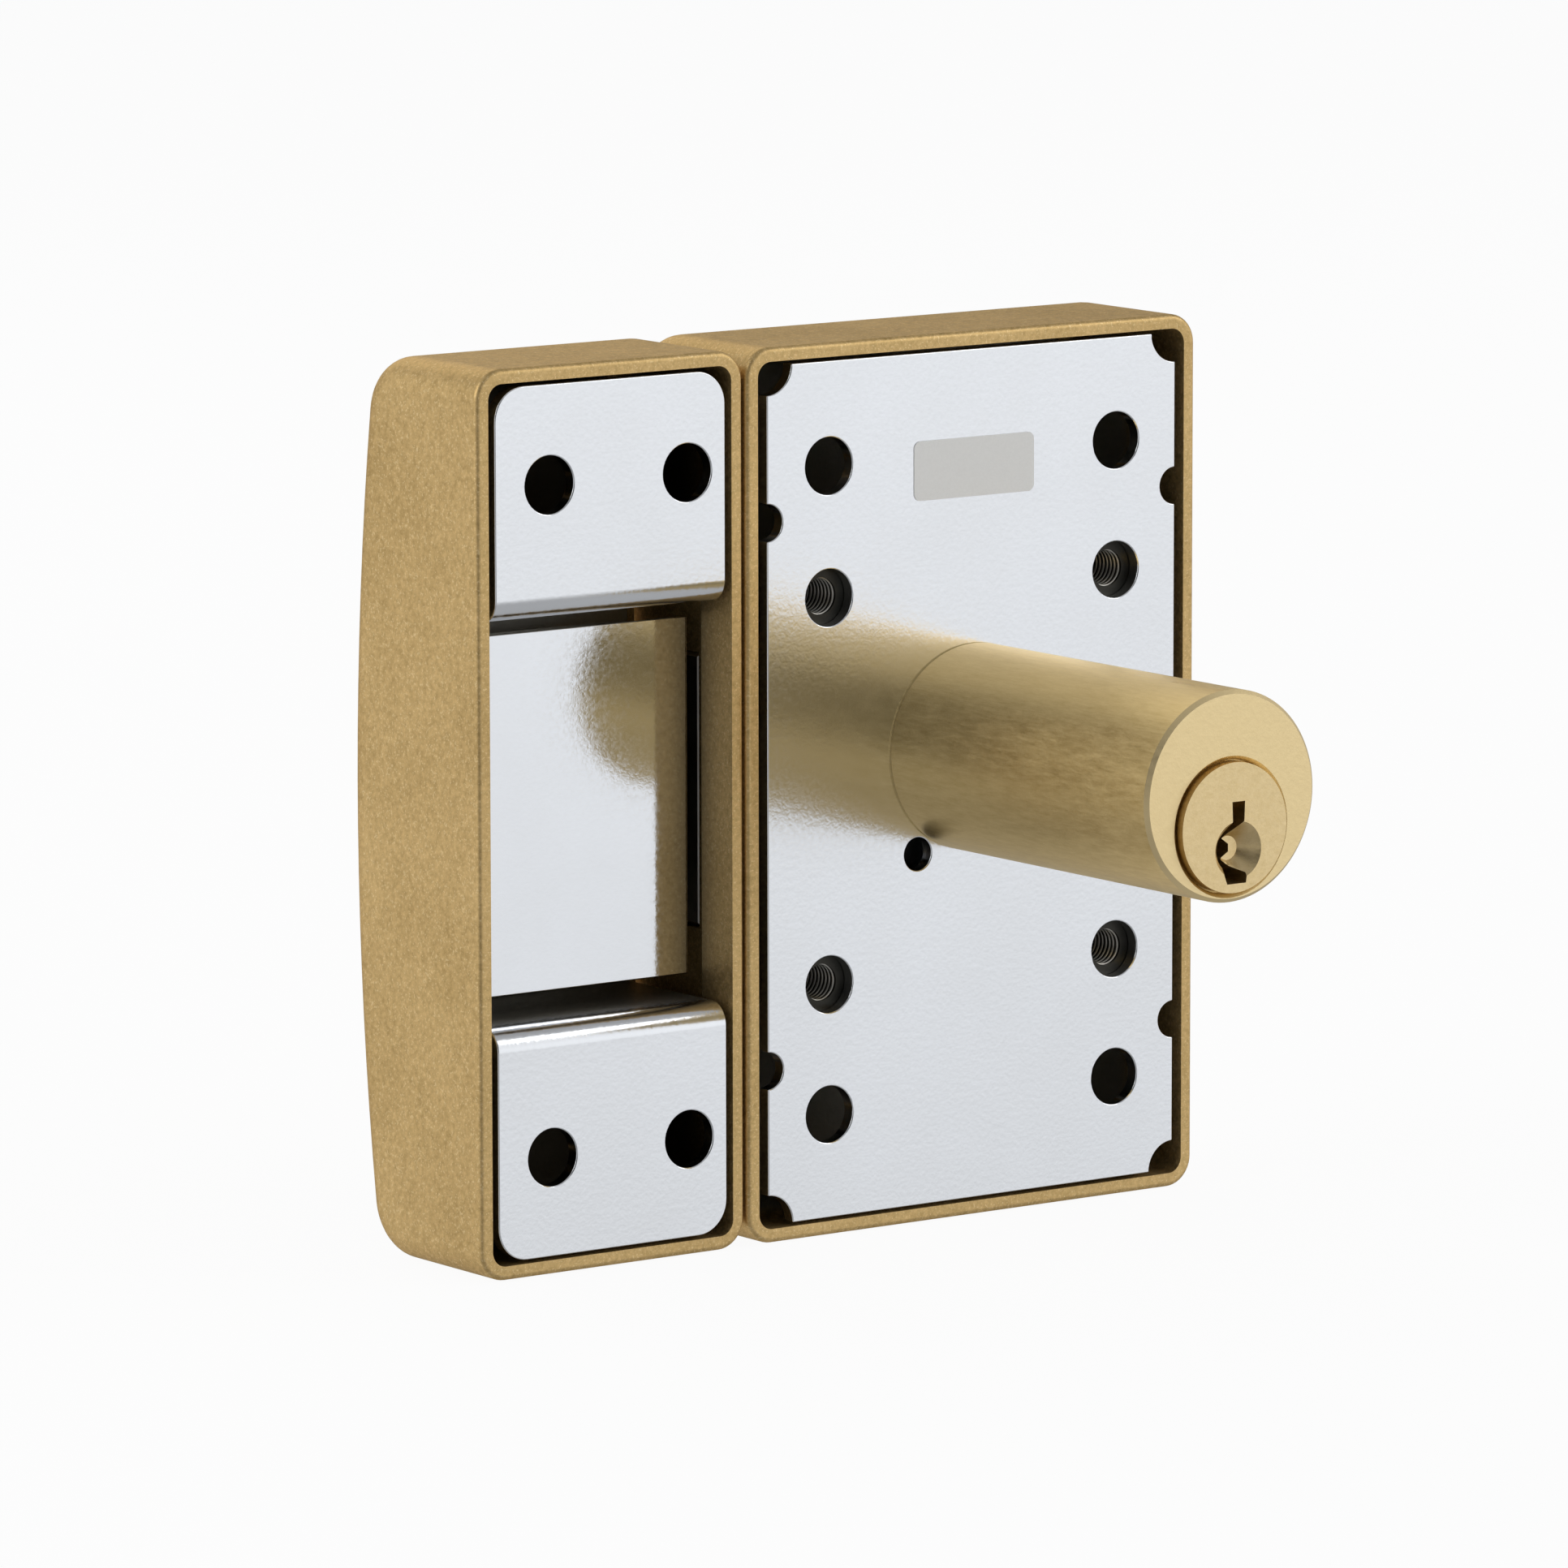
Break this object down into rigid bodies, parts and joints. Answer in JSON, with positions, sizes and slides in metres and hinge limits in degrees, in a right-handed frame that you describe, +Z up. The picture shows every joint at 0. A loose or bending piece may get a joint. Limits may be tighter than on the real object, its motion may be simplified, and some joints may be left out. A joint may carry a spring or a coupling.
{
  "type": "double cylinder rim deadbolt",
  "caption": "Surface-mounted deadbolt with a box strike: gold covers, a plated back plate, a long brass key cylinder on the door side and a short one on the room side.",
  "frame": {"origin": "centre of the case's screw holes on the face that lies on the door", "axes": "+Y from the door into the room, -X the way the bolt is thrown, +Z up"},
  "size_m": [0.118, 0.0967, 0.12],
  "materials": {
    "gold_paint": "champagne-gold metallic paint on zinc die castings",
    "zinc_plate": "bright zinc-plated sheet steel",
    "label": "plain grey self-adhesive label",
    "brass": "turned and brushed brass",
    "bolt_steel": "plated, satin",
    "tool_steel": "plain, lightly oiled",
    "fastener": "zinc-plated"
  },
  "bodies": {
    "frame": {"case_cover": "gold_paint", "back_plate": "zinc_plate", "case_label": "label", "spacer_posts": "zinc_plate", "cover_screws": "fastener", "outer_housing": "brass", "outer_driver_pins": "brass", "outer_pin_springs": "fastener", "outer_pin_caps": "brass", "cylinder_screws": "fastener", "cylinder_washers": "fastener", "inner_housing": "brass", "inner_driver_pins": "brass", "inner_pin_springs": "fastener", "inner_pin_caps": "brass", "inner_ring_nut": "brass", "inner_rosette": "brass", "inner_end_cap": "brass", "gear_axle": "tool_steel", "axle_clip": "fastener", "axle_washer": "fastener", "rack_rail": "zinc_plate", "rail_screws": "fastener", "strike_cover": "gold_paint", "strike_bracket": "zinc_plate", "strike_keeper": "zinc_plate", "strike_screws": "fastener"},
    "outer_plug": {"outer_plug": "brass", "outer_clip": "fastener", "outer_key_pins": "brass", "outer_tailpiece": "fastener", "driver_pinion": "tool_steel", "coupler_spring": "fastener"},
    "gear": {"wheel_gear": "tool_steel", "rack_pinion": "tool_steel"},
    "bolt": {"bolt_head": "bolt_steel", "bolt_arm": "tool_steel", "bolt_rivets": "tool_steel", "bolt_hard_pins": "tool_steel"},
    "inner_plug": {"inner_plug": "brass", "inner_clip": "fastener", "inner_key_pins": "brass"},
    "inner_coupler": {"inner_coupler": "fastener"}
  },
  "joints": [
    {"name": "outer_key", "type": "hinge", "parent": "frame", "child": "outer_plug", "pos_m": [0, 0, 0], "axis": [0, 1, 0], "range_deg": [0, 720]},
    {"name": "wheel_turn", "type": "hinge", "parent": "frame", "child": "gear", "pos_m": [0, 0, -0.024], "axis": [0, 1, 0], "range_deg": [-240, 0]},
    {"name": "bolt_throw", "type": "slide", "parent": "frame", "child": "bolt", "axis": [-1, 0, 0], "range_m": [0, 0.02094]},
    {"name": "inner_key", "type": "hinge", "parent": "frame", "child": "inner_plug", "pos_m": [0, 0, 0], "axis": [0, 1, 0], "range_deg": [0, 720]},
    {"name": "coupler_slide", "type": "slide", "parent": "inner_plug", "child": "inner_coupler", "axis": [0, -1, 0], "range_m": [0, 0.0022], "deforming": ["coupler_spring"]}
  ],
  "couplings": [
    {"joint": "outer_key", "follows": "bolt_throw", "rad_per_m": 600},
    {"joint": "wheel_turn", "follows": "bolt_throw", "rad_per_m": -200}
  ]
}
